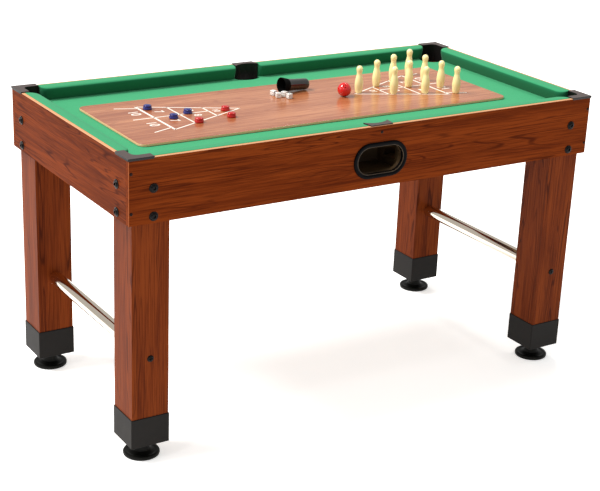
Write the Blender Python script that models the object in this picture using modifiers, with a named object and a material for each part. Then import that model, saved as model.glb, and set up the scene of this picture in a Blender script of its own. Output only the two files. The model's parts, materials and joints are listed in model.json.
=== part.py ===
"""A four-foot shuffleboard and pool games table with its loose playing pieces.

Metres, +Z up. The origin is on the floor under the middle of the table, +X runs along the long side
and -Y is the long side with the ball-return opening.
"""

import math

import bmesh
import bpy
from mathutils import Vector

# ---------------------------------------------------------------- table
LENGTH = 1.220  # over the end aprons
WIDTH = 0.620  # over the long aprons
TOP = 0.692  # top edge of the aprons and cushions
APRON_H = 0.140
APRON_T = 0.012
GAP = 0.0003  # fitting gap between neighbouring pieces
BED_Z = 0.6605  # playing surface of the cloth-covered bed
BED_T = 0.0125
RAIL = 0.025  # cushion depth from apron to nose

# ---------------------------------------------------------------- legs and feet
LEG = 0.086  # square leg, outside
LEG_WALL = 0.010
LEG_X = LENGTH / 2 - APRON_T - LEG / 2 - GAP
LEG_Y = WIDTH / 2 - APRON_T - LEG / 2 - GAP
CAP_TOP = 0.108
CAP_BOTTOM = 0.0394
CAP_WALL = 0.0017
CAP_FLOOR = 0.004
FOOT_R = 0.0405
STUD_R = 0.005
TUBE_R = 0.016
TUBE_WALL = 0.0015
TUBE_Z = 0.245
BOLT_Z = (0.627, 0.567)
BOLT_R = 0.003
BOLT_HEAD_R = 0.0100

# ---------------------------------------------------------------- pockets and ball return
PLATE_T = 0.0022
PLATE_ARM_X = 0.0570  # corner plate, along the long side
PLATE_ARM_Y = 0.0600  # corner plate, along the end
PLATE_W = 0.0190
CORNER_R = 0.0310  # corner hole in the bed
CORNER_IN = 0.048  # hole centre, in from each outer face
MID_HALF = 0.0295  # half-width inside a middle pocket
LINER = 0.0020
OPEN_W, OPEN_H, OPEN_Z = 0.141, 0.081, 0.614  # bezel of the ball-return opening
RUN_Y = 0.255  # centre line of the two long ball runs
RUN_W = 0.048
RUN_WALL = 0.0020

# ---------------------------------------------------------------- playing board and pieces
BOARD = (0.990, 0.330, 0.006)
BOARD_AT = (-0.011, 0.013)
BOARD_R = 0.018
BOARD_Z = BED_Z + GAP
PLAY_Z = BOARD_Z + BOARD[2] + GAP  # the loose pieces stand here
PUCK_R, PUCK_H = 0.0105, 0.0114
PUCKS = (
    ("puck_blue_1", -0.3697, 0.0940),
    ("puck_blue_2", -0.3491, 0.0033),
    ("puck_blue_3", -0.3012, 0.0275),
    ("puck_red_1", -0.2105, 0.0144),
    ("puck_red_2", -0.2247, -0.0394),
    ("puck_red_3", -0.3119, -0.0477),
)
BALL_R = 0.017
BALL_AT = (0.113, 0.010)
PIN_ROW_X = (0.165, 0.2410, 0.3145, 0.387)
PIN_ROW_Y = (
    (0.025,),
    (-0.0150, 0.0600),
    (-0.0439, 0.0246, 0.0930),
    (-0.0732, -0.0100, 0.0580, 0.1250),
)
PIN_PROFILE = (  # radius, height
    (0.0080, 0.0000),
    (0.0093, 0.0080),
    (0.0103, 0.0180),
    (0.0102, 0.0250),
    (0.0086, 0.0360),
    (0.0066, 0.0450),
    (0.0065, 0.0500),
    (0.0077, 0.0570),
    (0.0072, 0.0620),
    (0.0047, 0.0655),
)
PIN_H = 0.0670
CUP_MOUTH = (-0.0120, 0.0967)
CUP_BASE = (0.0650, 0.1040)
CUP_LENGTH = 0.0773
CUP_PROFILE = (  # radius, distance from the mouth
    (0.0190, 0.0000),
    (0.0180, 0.0060),
    (0.0157, 0.0160),
    (0.0142, 0.0280),
    (0.0137, 0.0420),
    (0.0135, 0.0700),
    (0.0127, 0.0755),
)
CUP_WALL = 0.0015
DIE = 0.012
DICE = (  # x, y, turn in degrees, which side is up
    ("die_1", -0.0393, 0.0870, 18, 0),
    ("die_2", -0.0394, 0.0641, -14, 1),
    ("die_3", -0.0207, 0.0679, 30, 2),
    ("die_4", -0.0193, 0.0464, 8, 3),
)

WOOD = (0.235, 0.070, 0.028, 1.0)
WOOD_LEG = (0.270, 0.090, 0.040, 1.0)
CLOTH = (0.080, 0.420, 0.220, 1.0)
BLACK = (0.030, 0.028, 0.028, 1.0)
CHROME = (0.620, 0.600, 0.570, 1.0)
BOARD_WOOD = (0.560, 0.250, 0.140, 1.0)
PIN_YELLOW = (0.900, 0.760, 0.360, 1.0)
RED = (0.620, 0.020, 0.015, 1.0)
BLUE = (0.045, 0.060, 0.230, 1.0)
WHITE = (0.850, 0.830, 0.800, 1.0)

CORNERS = {
    "front_left": (-1, -1),
    "front_right": (1, -1),
    "back_left": (-1, 1),
    "back_right": (1, 1),
}

for old in list(bpy.data.objects):
    bpy.data.objects.remove(old, do_unlink=True)

table = bpy.data.collections.new("shuffleboard_table")
cutters = bpy.data.collections.new("cutters")
bpy.context.scene.collection.children.link(table)
bpy.context.scene.collection.children.link(cutters)


# ---------------------------------------------------------------- helpers
def empty(name, location, parent=None):
    """A pivot or a group's origin."""
    pivot = bpy.data.objects.new(name, None)
    pivot.empty_display_size = 0.03
    pivot.location = location
    pivot.parent = parent
    table.objects.link(pivot)
    return pivot


def soften(mesh):
    """Smooth shading with the real edges kept sharp."""
    mesh.shade_smooth()
    mesh.set_sharp_from_angle(angle=math.radians(35))


def add(name, mesh, location=(0, 0, 0), rotation=None):
    """Put a mesh in the scene; it joins the table once it is given a finish."""
    piece = bpy.data.objects.new(name, mesh)
    piece.location = location
    if rotation is not None:
        piece.rotation_euler = rotation
    cutters.objects.link(piece)
    piece.hide_render = True
    piece.display_type = "WIRE"
    return piece


def finish(piece, colour, metallic, roughness, parent):
    """Give a piece its material and its parent, and move it into the table's collection."""
    made = bpy.data.materials.new(piece.name)
    made.use_nodes = True
    shader = made.node_tree.nodes["Principled BSDF"]
    shader.inputs["Base Color"].default_value = colour
    shader.inputs["Metallic"].default_value = metallic
    shader.inputs["Roughness"].default_value = roughness
    made.diffuse_color = colour
    piece.data.materials.append(made)
    cutters.objects.unlink(piece)
    table.objects.link(piece)
    piece.hide_render = False
    piece.display_type = "TEXTURED"
    piece.parent = parent
    return piece


def combine(piece, tool, how="DIFFERENCE"):
    """Cut a tool from a piece, or join it on with UNION."""
    step = piece.modifiers.new(tool.name, "BOOLEAN")
    step.operation = how
    step.solver = "EXACT"
    step.object = tool


def block(name, low, high):
    """A rectangular solid between two corners, with its origin in the middle."""
    size = [b - a for a, b in zip(low, high)]
    bm = bmesh.new()
    bmesh.ops.create_cube(bm, size=1.0)
    bmesh.ops.scale(bm, vec=size, verts=bm.verts)
    mesh = bpy.data.meshes.new(name)
    bm.to_mesh(mesh)
    bm.free()
    return add(name, mesh, [(a + b) / 2 for a, b in zip(low, high)])


def rods(name, radius, runs, segments=12):
    """Round bars in one mesh, each between two points."""
    bm = bmesh.new()
    for start, end in runs:
        start, end = Vector(start), Vector(end)
        along = end - start
        place = along.to_track_quat("Z", "Y").to_matrix().to_4x4()
        place.translation = (start + end) / 2
        bmesh.ops.create_cone(
            bm,
            cap_ends=True,
            segments=segments,
            radius1=radius,
            radius2=radius,
            depth=along.length,
            matrix=place,
        )
    mesh = bpy.data.meshes.new(name)
    bm.to_mesh(mesh)
    bm.free()
    return add(name, mesh)


def outline_mesh(name, outlines, thickness):
    """Flat outlines as a filled 2D curve, extruded both ways and then made one mesh."""
    curve = bpy.data.curves.new(name, "CURVE")
    curve.dimensions = "2D"
    curve.fill_mode = "BOTH"
    curve.extrude = thickness / 2
    for outline in outlines:
        line = curve.splines.new("POLY")
        line.points.add(len(outline) - 1)
        for point, (x, y) in zip(line.points, outline):
            point.co = (x, y, 0.0, 1.0)
        line.use_cyclic_u = True
    source = bpy.data.objects.new(name + "_outline", curve)
    cutters.objects.link(source)
    graph = bpy.context.evaluated_depsgraph_get()
    mesh = bpy.data.meshes.new_from_object(source.evaluated_get(graph))
    mesh.name = name
    bpy.data.objects.remove(source, do_unlink=True)
    bpy.data.curves.remove(curve)
    bm = bmesh.new()
    bm.from_mesh(mesh)
    bmesh.ops.remove_doubles(bm, verts=bm.verts, dist=0.00001)
    bm.to_mesh(mesh)
    bm.free()
    return mesh


def slab(name, outlines, low, high):
    """Outlines in plan, drawn out from low to high."""
    return add(name, outline_mesh(name, outlines, high - low), (0, 0, (low + high) / 2))


def panel(name, outline, low, high):
    """An outline in X and Z, drawn out along Y from low to high."""
    mesh = outline_mesh(name, [outline], high - low)
    soften(mesh)
    return add(name, mesh, (0, (low + high) / 2, 0), (math.radians(90), 0, 0))


def turned(name, profile, segments, location, rotation=None):
    """(radius, height) pairs from bottom to top, turned about Z."""
    points = [(radius, 0.0, height) for radius, height in reversed(profile)]
    mesh = bpy.data.meshes.new(name)
    mesh.from_pydata(points, [(i, i + 1) for i in range(len(points) - 1)], [])
    piece = add(name, mesh, location, rotation)
    spin = piece.modifiers.new("turn", "SCREW")
    spin.axis = "Z"
    spin.angle = math.radians(360)
    spin.steps = segments
    spin.render_steps = segments
    spin.use_merge_vertices = True
    spin.merge_threshold = 0.00001
    return piece


def arc(centre, radius, start, end, steps):
    """Points on an arc, angles in degrees."""
    points = []
    for i in range(steps + 1):
        turn = math.radians(start + (end - start) * i / steps)
        points.append((centre[0] + radius * math.cos(turn), centre[1] + radius * math.sin(turn)))
    return points


def stadium(width, height, centre_z, steps=10):
    """A lying slot outline in X and Z."""
    r = height / 2
    x = width / 2 - r
    return arc((x, centre_z), r, -90, 90, steps) + arc((-x, centre_z), r, 90, 270, steps)


def mirrored(outline, sx, sy):
    return [(x * sx, y * sy) for x, y in outline]


# ---------------------------------------------------------------- aprons
def bolt_holes(name, corners):
    """Each leg has four bolt holes: two through the long apron and two through the end apron."""
    runs = []
    for sx, sy in corners:
        x, y = sx * LEG_X, sy * LEG_Y
        face_x, face_y = sx * LENGTH / 2, sy * WIDTH / 2
        for z in BOLT_Z:
            runs.append(((x, face_y + sy * 0.01, z), (x, face_y - sy * 0.035, z)))
            runs.append(((face_x + sx * 0.01, y, z), (face_x - sx * 0.035, y, z)))
    return rods(name, BOLT_R + GAP, runs)


def aprons():
    low, high = TOP - APRON_H, TOP
    for side, s in (("front", -1), ("back", 1)):
        faces = sorted((s * WIDTH / 2, s * (WIDTH / 2 - APRON_T)))
        apron = block(side + "_apron", (-LENGTH / 2, faces[0], low), (LENGTH / 2, faces[1], high))
        combine(apron, bolt_holes(side + "_bolt_holes", ((-1, s), (1, s))))
        if s < 0:
            hole = stadium(OPEN_W - 0.0152, OPEN_H - 0.0152, OPEN_Z)
            combine(apron, panel("ball_opening", hole, faces[0] - 0.01, faces[1] + 0.01))
        finish(apron, WOOD, 0.0, 0.35, frame)
    inside = WIDTH / 2 - APRON_T - GAP
    for side, s in (("left", -1), ("right", 1)):
        faces = sorted((s * LENGTH / 2, s * (LENGTH / 2 - APRON_T)))
        apron = block(side + "_apron", (faces[0], -inside, low), (faces[1], inside, high))
        combine(apron, bolt_holes(side + "_bolt_holes", ((s, -1), (s, 1))))
        finish(apron, WOOD, 0.0, 0.35, frame)


# ---------------------------------------------------------------- bed and cushions
def corner_notch(sx, sy):
    """The hole for a corner pocket: a bulge into the bed, open to the bed's corner."""
    x, y = LENGTH / 2, WIDTH / 2
    cx, cy = x - CORNER_IN, y - CORNER_IN
    across = x - PLATE_ARM_X - 0.0025
    along = y - PLATE_ARM_Y - 0.0025
    start = math.degrees(math.acos((across - cx) / CORNER_R))
    end = 360 - math.degrees(math.asin((cy - along) / CORNER_R))
    outline = [(x + 0.01, along), (x + 0.01, y + 0.01), (across, y + 0.01)]
    outline += arc((cx, cy), CORNER_R, start, end, 18)
    return mirrored(outline, sx, sy)


def middle_notch(sy):
    """The hole for a middle pocket, open to the bed's long edge."""
    half = MID_HALF + LINER + 0.0007
    edge = WIDTH / 2 - 0.0368
    reach = 0.012
    radius = (half * half + reach * reach) / (2 * reach)
    swing = math.degrees(math.asin(half / radius))
    bulge = arc((0, edge - reach + radius), radius, 270 - swing, 270 + swing, 12)
    outline = [(-half, WIDTH / 2 + 0.01)] + bulge + [(half, WIDTH / 2 + 0.01)]
    return mirrored(outline, 1, sy)


def bed():
    x, y = LENGTH / 2 - APRON_T - GAP, WIDTH / 2 - APRON_T - GAP
    low = BED_Z - BED_T
    piece = block("bed_panel", (-x, -y, low), (x, y, BED_Z))
    holes = [corner_notch(sx, sy) for sx, sy in CORNERS.values()]
    holes += [middle_notch(-1), middle_notch(1)]
    combine(piece, slab("pocket_holes", holes, low - 0.01, BED_Z + 0.01))
    finish(piece, CLOTH, 0.0, 0.95, frame)


CUSHION = (  # depth from the apron, height, with the nose overhanging the bed
    (0.0000, BED_Z + GAP),
    (0.0170, BED_Z + GAP),
    (0.0250, TOP - 0.0085),
    (0.0250, TOP - 0.0022),
    (0.0238, TOP),
    (0.0000, TOP),
)


def cushion(name, middle, length, facing, jaws):
    """A rail cushion; its ends are sheared back to make the pocket jaws."""
    mesh = outline_mesh(name, [CUSHION], length)
    for corner in mesh.vertices:
        depth = corner.co.x / RAIL
        jaw = jaws[0] if corner.co.z < 0 else -jaws[1]
        corner.co.z += jaw * depth
    turn = (math.radians(90), 0, math.radians(facing))
    finish(add(name, mesh, (*middle, 0), turn), CLOTH, 0.0, 0.95, frame)


def cushions():
    outer = LENGTH / 2 - PLATE_ARM_X - 0.0025
    inner = MID_HALF + LINER + GAP
    x, y = LENGTH / 2 - APRON_T - GAP, WIDTH / 2 - APRON_T - GAP
    middle, length = (outer + inner) / 2, outer - inner
    corner, side = 0.014, 0.006
    cushion("cushion_front_left", (-middle, -y), length, 90, (corner, side))
    cushion("cushion_front_right", (middle, -y), length, 90, (side, corner))
    cushion("cushion_back_left", (-middle, y), length, -90, (side, corner))
    cushion("cushion_back_right", (middle, y), length, -90, (corner, side))
    length = 2 * (WIDTH / 2 - PLATE_ARM_Y - 0.0025)
    cushion("cushion_left", (-x, 0), length, 0, (corner, corner))
    cushion("cushion_right", (x, 0), length, 180, (corner, corner))


# ---------------------------------------------------------------- pockets
def corner_path(inset, grow):
    """The inner edge of a corner plate, from the long side round to the end."""
    x, y = LENGTH / 2, WIDTH / 2
    w = PLATE_W - inset
    r = 0.013 + inset
    turn = arc((x - w - r, y - w - r), r, 90, 0, 6)
    return [(x - PLATE_ARM_X - grow, y - w)] + turn + [(x - w, y - PLATE_ARM_Y - grow)]


def corner_pocket(name, sx, sy):
    """An L-shaped plate on the corner, with a lip over both aprons and a liner down through the bed."""
    x, y = LENGTH / 2, WIDTH / 2
    over = 0.0015
    end_x, end_y = x - PLATE_ARM_X, y - PLATE_ARM_Y
    low, high = TOP + GAP, TOP + GAP + PLATE_T
    outline = [(x + over, end_y), (x + over, y + over), (end_x, y + over)] + corner_path(0, 0)
    piece = slab(name, [mirrored(outline, sx, sy)], low, high)
    edge = over - 0.0001
    lip = [(x + GAP, end_y + 0.0005), (x + edge, end_y + 0.0005), (x + edge, y + edge)]
    lip += [(end_x + 0.0005, y + edge), (end_x + 0.0005, y + GAP), (x + GAP, y + GAP)]
    combine(piece, slab(name + "_lip", [mirrored(lip, sx, sy)], TOP - 0.0030, low + 0.0010), "UNION")
    wall = corner_path(0.0004, -0.0006) + corner_path(0.0004 + LINER, -0.0006)[::-1]
    liner = slab(name + "_liner", [mirrored(wall, sx, sy)], BED_Z - BED_T + GAP, low + 0.0010)
    combine(piece, liner, "UNION")
    finish(piece, BLACK, 0.0, 0.40, frame)


def middle_path(half, depth, front):
    """The inner edge of a middle pocket, from jaw to jaw."""
    sag = 0.0105
    radius = (half * half + sag * sag) / (2 * sag)
    swing = math.degrees(math.asin(half / radius))
    bow = arc((0, depth - radius), radius, 90 + swing, 90 - swing, 10)
    return [(-half, front)] + bow + [(half, front)]


def middle_pocket(name, sy):
    y = WIDTH / 2
    low, high = TOP + GAP, TOP + GAP + PLATE_T
    outline = middle_path(MID_HALF, y - 0.0155, y - 0.0270)
    outline += [(MID_HALF + 0.0030, y - 0.0270), (MID_HALF - 0.0010, y)]
    outline += [(-MID_HALF + 0.0010, y), (-MID_HALF - 0.0030, y - 0.0270)]
    piece = slab(name, [mirrored(outline, 1, sy)], low, high)
    wall = middle_path(MID_HALF + 0.0003, y - 0.0152, y - 0.0265)
    wall += middle_path(MID_HALF + LINER, y - 0.0152 + LINER, y - 0.0265)[::-1]
    liner = slab(name + "_liner", [mirrored(wall, 1, sy)], BED_Z - BED_T + GAP, low + 0.0010)
    combine(piece, liner, "UNION")
    finish(piece, BLACK, 0.0, 0.40, frame)


# ---------------------------------------------------------------- ball return
def gutter(name, start, end, width, height):
    """An open channel; start and end are the middle of its floor at each end."""
    start, end = Vector(start), Vector(end)
    along = end - start
    w, t = width / 2, RUN_WALL
    section = [(-w, -t), (w, -t), (w, height), (w - t, height)]
    section += [(w - t, 0.0), (-w + t, 0.0), (-w + t, height), (-w, height)]
    mesh = outline_mesh(name, [section], along.length)
    turn = along.to_track_quat("Z", "Y").to_euler()
    return add(name, mesh, (start + end) / 2, turn)


TRAY_HALF = 0.066
TRAY_BACK = -0.206
TRAY_RIM = 0.5955
TRAY_FLOOR = 0.5760
RUN_LOW = 0.5960  # floor of the front runs where they reach the tray
RUN_HIGH = 0.6075  # floor of every run under a corner pocket
RUN_MIDDLE = 0.6030  # floor of the back run where it turns towards the tray
RUN_END = LENGTH / 2 - APRON_T - GAP - LEG_WALL - 0.004
LANE = RUN_W / 2 - RUN_WALL


def ball_tray():
    """The bezel, its sleeve through the apron, the tray behind and the two front runs."""
    face = -WIDTH / 2
    inside = face + APRON_T + GAP + 0.0005
    ceiling = BED_Z - BED_T - 0.0012
    width, height = OPEN_W - 0.0158, OPEN_H - 0.0158
    bezel = stadium(OPEN_W, OPEN_H, OPEN_Z, 14)
    piece = panel("ball_return_tray", bezel, face - 0.0027, face - GAP)
    sleeve = stadium(width, height, OPEN_Z)
    combine(piece, panel("tray_sleeve", sleeve, face - 0.0015, face + APRON_T + 0.004), "UNION")
    well = block("tray_well", (-TRAY_HALF, inside, TRAY_FLOOR), (TRAY_HALF, TRAY_BACK, ceiling))
    combine(piece, well, "UNION")
    mouth = stadium(width - 0.004, height - 0.004, OPEN_Z)
    combine(piece, panel("tray_mouth", mouth, face - 0.01, face + 0.0175))
    low = (-TRAY_HALF + 0.002, inside + 0.0035, TRAY_FLOOR + 0.002)
    combine(piece, block("tray_hollow", low, (TRAY_HALF - 0.002, TRAY_BACK - 0.002, 0.70)))
    low, high = (-0.1, -RUN_Y - LANE, RUN_LOW - 0.0002), (0.1, -RUN_Y + LANE, 0.70)
    combine(piece, block("tray_side_gates", low, high))
    low = (-LANE - 0.0022, TRAY_BACK - 0.01, TRAY_RIM)
    high = (LANE + 0.0022, TRAY_BACK + 0.01, TRAY_RIM + 0.0480)
    combine(piece, block("tray_back_gate", low, high))
    for side, s in (("left", -1), ("right", 1)):
        start = (s * (TRAY_HALF - 0.0006), -RUN_Y, RUN_LOW)
        end = (s * RUN_END, -RUN_Y, RUN_HIGH)
        combine(piece, gutter("front_run_" + side, start, end, RUN_W, 0.0320), "UNION")
    finish(piece, BLACK, 0.0, 0.30, frame)


def back_run():
    """The run behind the back apron, with a branch that crosses to the tray."""
    start, end = (-RUN_END, RUN_Y, RUN_HIGH), (0.0, RUN_Y, RUN_MIDDLE)
    piece = gutter("back_ball_run", start, end, RUN_W, 0.010)
    other = gutter("back_run_right", (-0.001, RUN_Y, RUN_MIDDLE), (RUN_END, RUN_Y, RUN_HIGH), RUN_W, 0.0101)
    combine(piece, other, "UNION")
    low, high = (-LANE, RUN_Y - 0.04, RUN_MIDDLE + 0.0004), (LANE, RUN_Y, RUN_MIDDLE + 0.03)
    combine(piece, block("back_run_gate", low, high))
    start = (0.0, RUN_Y - LANE - 0.0005, RUN_MIDDLE - 0.0006)
    end = (0.0, TRAY_BACK - 0.004, TRAY_RIM + RUN_WALL + GAP)
    combine(piece, gutter("cross_run", start, end, RUN_W - 0.001, 0.0435), "UNION")
    finish(piece, BLACK, 0.0, 0.30, frame)


# ---------------------------------------------------------------- legs
def leg(name, sx, sy):
    """A box leg; the board facing the middle is cut away at the top to let the balls through."""
    half = LEG / 2
    inner = half - LEG_WALL
    cx, cy = sx * LEG_X, sy * LEG_Y
    low, top = CAP_BOTTOM + CAP_FLOOR + GAP, BED_Z - BED_T - GAP
    piece = block("leg_" + name, (cx - half, cy - half, low), (cx + half, cy + half, top))
    near, far = (cx - inner, cy - inner, low - 0.01), (cx + inner, cy + inner, top + 0.01)
    combine(piece, block("leg_hollow_" + name, near, far))
    combine(piece, bolt_holes("leg_bolt_holes_" + name, ((sx, sy),)))
    gate = sorted((cx - sx * (half + 0.01), cx - sx * (inner - 0.004)))
    lane = RUN_W / 2 + GAP
    near = (gate[0], sy * RUN_Y - lane, RUN_HIGH - RUN_WALL - 0.0024)
    combine(piece, block("ball_gate_" + name, near, (gate[1], sy * RUN_Y + lane, top + 0.01)))
    finish(piece, WOOD_LEG, 0.0, 0.35, frame)


def leg_cap(name, sx, sy):
    cx, cy = sx * LEG_X, sy * LEG_Y
    inner = LEG / 2 + GAP
    outer = inner + CAP_WALL
    low, high = (cx - outer, cy - outer, CAP_BOTTOM), (cx + outer, cy + outer, CAP_TOP)
    piece = block("leg_cap_" + name, low, high)
    edge = piece.modifiers.new("edge", "BEVEL")
    edge.width = 0.0012
    edge.segments = 1
    low = (cx - inner, cy - inner, CAP_BOTTOM + CAP_FLOOR)
    combine(piece, block("cap_socket_" + name, low, (cx + inner, cy + inner, CAP_TOP + 0.01)))
    run = ((cx, cy, CAP_BOTTOM - 0.01), (cx, cy, CAP_BOTTOM + 0.02))
    combine(piece, rods("stud_hole_" + name, STUD_R + GAP, [run], 16))
    finish(piece, BLACK, 0.0, 0.55, frame)


FOOT = (  # radius, height: a round pad, its neck and the threaded stud
    (0.0000, 0.0000),
    (FOOT_R - 0.0030, 0.0000),
    (FOOT_R - 0.0006, 0.0016),
    (FOOT_R, 0.0045),
    (FOOT_R - 0.0008, 0.0078),
    (FOOT_R - 0.0040, 0.0100),
    (0.0300, 0.0088),
    (0.0190, 0.0120),
    (0.0165, 0.0340),
    (0.0145, 0.0360),
    (STUD_R, 0.0360),
    (STUD_R, 0.0780),
    (0.0000, 0.0780),
)


def levelling_foot(name, sx, sy):
    piece = turned("levelling_foot_" + name, FOOT, 28, (sx * LEG_X, sy * LEG_Y, 0.0))
    finish(piece, BLACK, 0.0, 0.50, frame)


def stretcher(name, sx):
    """A thin tube between the two legs of one end."""
    bm = bmesh.new()
    length = 2 * (LEG_Y - LEG / 2 - GAP)
    bmesh.ops.create_cone(
        bm, cap_ends=False, segments=32, radius1=TUBE_R, radius2=TUBE_R, depth=length
    )
    mesh = bpy.data.meshes.new(name)
    bm.to_mesh(mesh)
    bm.free()
    soften(mesh)
    piece = add(name, mesh, (sx * LEG_X, 0.0, TUBE_Z), (math.radians(90), 0, 0))
    wall = piece.modifiers.new("wall", "SOLIDIFY")
    wall.thickness = TUBE_WALL
    wall.offset = -1.0
    finish(piece, CHROME, 1.0, 0.12, frame)


BOLT = (  # radius, depth from the apron face: a domed head and a plain shank
    (0.0000, -0.0048),
    (BOLT_HEAD_R * 0.38, -0.0048),
    (BOLT_HEAD_R * 0.74, -0.0038),
    (BOLT_HEAD_R, -0.0014),
    (BOLT_HEAD_R, -GAP),
    (BOLT_R, -GAP),
    (BOLT_R, 0.0285),
    (0.0000, 0.0285),
)


def bolt_set(name, sx, sy):
    """The bolts that clamp one leg to its two aprons, and the angle plate inside the leg."""
    x = sx * (LENGTH / 2 - APRON_T - LEG_WALL - 2 * GAP)
    y = sy * (WIDTH / 2 - APRON_T - LEG_WALL - 2 * GAP)
    t, arm = 0.0025, 0.046
    outline = [(x, y), (x - sx * arm, y), (x - sx * arm, y - sy * t), (x - sx * t, y - sy * t)]
    outline += [(x - sx * t, y - sy * arm), (x, y - sy * arm)]
    piece = slab("leg_bolts_" + name, [outline], 0.553, 0.641)
    places = []
    for z in BOLT_Z:
        places.append(((sx * LEG_X, sy * WIDTH / 2, z), (0, -sy, 0)))
        places.append(((sx * LENGTH / 2, sy * LEG_Y, z), (-sx, 0, 0)))
    for number, (at, inwards) in enumerate(places):
        turn = Vector(inwards).to_track_quat("Z", "Y").to_euler()
        bolt = turned("bolt_%s_%d" % (name, number + 1), BOLT, 12, at, turn)
        combine(piece, bolt, "UNION")
    finish(piece, BLACK, 1.0, 0.40, frame)


# ---------------------------------------------------------------- board and loose pieces
def on_board(x, y, z=0.0):
    """A place on the board's face, seen from the board's own origin."""
    return (x - BOARD_AT[0], y - BOARD_AT[1], PLAY_Z + z - BOARD_MIDDLE)


BOARD_MIDDLE = BOARD_Z + BOARD[2] / 2


def playing_board():
    x, y, r = BOARD[0] / 2, BOARD[1] / 2, BOARD_R
    outline = []
    for cx, cy, start in ((x - r, y - r, 0), (r - x, y - r, 90), (r - x, r - y, 180), (x - r, r - y, 270)):
        outline += arc((cx, cy), r, start, start + 90, 7)
    mesh = outline_mesh("playing_board", [outline], BOARD[2])
    piece = add("playing_board", mesh, (*BOARD_AT, BOARD_MIDDLE))
    return finish(piece, BOARD_WOOD, 0.0, 0.25, frame)


PUCK = (
    (0.0000, 0.0),
    (PUCK_R - 0.0008, 0.0),
    (PUCK_R, 0.0008),
    (PUCK_R, 0.0045),
    (PUCK_R - 0.0012, 0.0050),
    (PUCK_R - 0.0010, PUCK_H - 0.0022),
    (PUCK_R - 0.0028, PUCK_H - 0.0006),
    (PUCK_R * 0.45, PUCK_H),
    (0.0000, PUCK_H),
)


def pucks():
    for name, x, y in PUCKS:
        colour = BLUE if "blue" in name else RED
        finish(turned(name, PUCK, 24, on_board(x, y)), colour, 0.0, 0.30, board)


def bowling_ball():
    bm = bmesh.new()
    bmesh.ops.create_uvsphere(bm, u_segments=24, v_segments=14, radius=BALL_R)
    mesh = bpy.data.meshes.new("bowling_ball")
    bm.to_mesh(mesh)
    bm.free()
    mesh.shade_smooth()
    piece = add("bowling_ball", mesh, on_board(*BALL_AT, BALL_R))
    runs = []
    for tilt, turn in ((48, 222), (38, 250), (60, 243)):
        a, b = math.radians(tilt), math.radians(turn)
        out = Vector((math.sin(a) * math.cos(b), math.sin(a) * math.sin(b), math.cos(a)))
        runs.append((out * (BALL_R - 0.005), out * (BALL_R + 0.002)))
    holes = rods("finger_holes", 0.0017, runs, 10)
    holes.parent = board
    holes.location = piece.location
    combine(piece, holes)
    finish(piece, RED, 0.0, 0.15, board)


def pins():
    """Each pin hangs from an empty on the edge of its base that it topples over."""
    number = 0
    for x, row in zip(PIN_ROW_X, PIN_ROW_Y):
        for y in row:
            number += 1
            name = "pin_%d" % number
            foot = PIN_PROFILE[0][0]
            edge = empty(name + "_edge", on_board(x + foot, y), board)
            profile = ((0.0, 0.0),) + PIN_PROFILE + ((0.0016, PIN_H), (0.0, PIN_H))
            finish(turned(name, profile, 16, (-foot, 0, 0)), PIN_YELLOW, 0.0, 0.35, edge)


def dice_cup():
    """A waisted cup lying on its side with its mouth towards -X."""
    mouth = Vector((*CUP_MOUTH, PLAY_Z + CUP_PROFILE[0][0] + 0.0001))
    base = Vector((*CUP_BASE, PLAY_Z + CUP_PROFILE[-2][0] + 0.0001))
    turn = (base - mouth).to_track_quat("Z", "Y").to_euler()
    profile = CUP_PROFILE + ((0.0110, CUP_LENGTH), (0.0, CUP_LENGTH))
    piece = turned("dice_cup", profile, 24, mouth - board.location, turn)
    wall = piece.modifiers.new("wall", "SOLIDIFY")
    wall.thickness = CUP_WALL
    wall.offset = -1.0
    wall.use_even_offset = True
    finish(piece, BLACK, 0.0, 0.18, board)


PIPS = {
    1: ((0, 0),),
    2: ((-1, -1), (1, 1)),
    3: ((-1, -1), (0, 0), (1, 1)),
    4: ((-1, -1), (-1, 1), (1, -1), (1, 1)),
    5: ((-1, -1), (-1, 1), (1, -1), (1, 1), (0, 0)),
    6: ((-1, -1), (-1, 0), (-1, 1), (1, -1), (1, 0), (1, 1)),
}
SIDES = {1: (0, 0, 1), 6: (0, 0, -1), 2: (0, 1, 0), 5: (0, -1, 0), 3: (1, 0, 0), 4: (-1, 0, 0)}
TIPS = ((0, 0), (90, 0), (0, 90), (-90, 0))  # turns about X and Y that bring another side up


def pips(name):
    """Shallow cones, one for each pip, all in one cutter."""
    bm = bmesh.new()
    for count, normal in SIDES.items():
        turn = Vector(normal).to_track_quat("Z", "Y").to_matrix().to_4x4()
        for a, b in PIPS[count]:
            place = turn.copy()
            place.translation = turn @ Vector((a * DIE * 0.27, b * DIE * 0.27, DIE / 2 + 0.0001))
            bmesh.ops.create_cone(
                bm,
                cap_ends=True,
                segments=6,
                radius1=0.0007,
                radius2=0.0016,
                depth=0.0012,
                matrix=place,
            )
    mesh = bpy.data.meshes.new(name)
    bm.to_mesh(mesh)
    bm.free()
    return add(name, mesh)


def dice():
    half = DIE / 2
    for name, x, y, degrees, up in DICE:
        piece = block(name, (-half, -half, -half), (half, half, half))
        edge = piece.modifiers.new("edge", "BEVEL")
        edge.width = 0.0011
        edge.segments = 2
        dots = pips(name + "_pips")
        for part in (piece, dots):
            part.location = on_board(x, y, half)
            part.rotation_euler = [math.radians(a) for a in (*TIPS[up], degrees)]
        dots.parent = board
        combine(piece, dots)
        finish(piece, WHITE, 0.0, 0.30, board)


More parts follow.
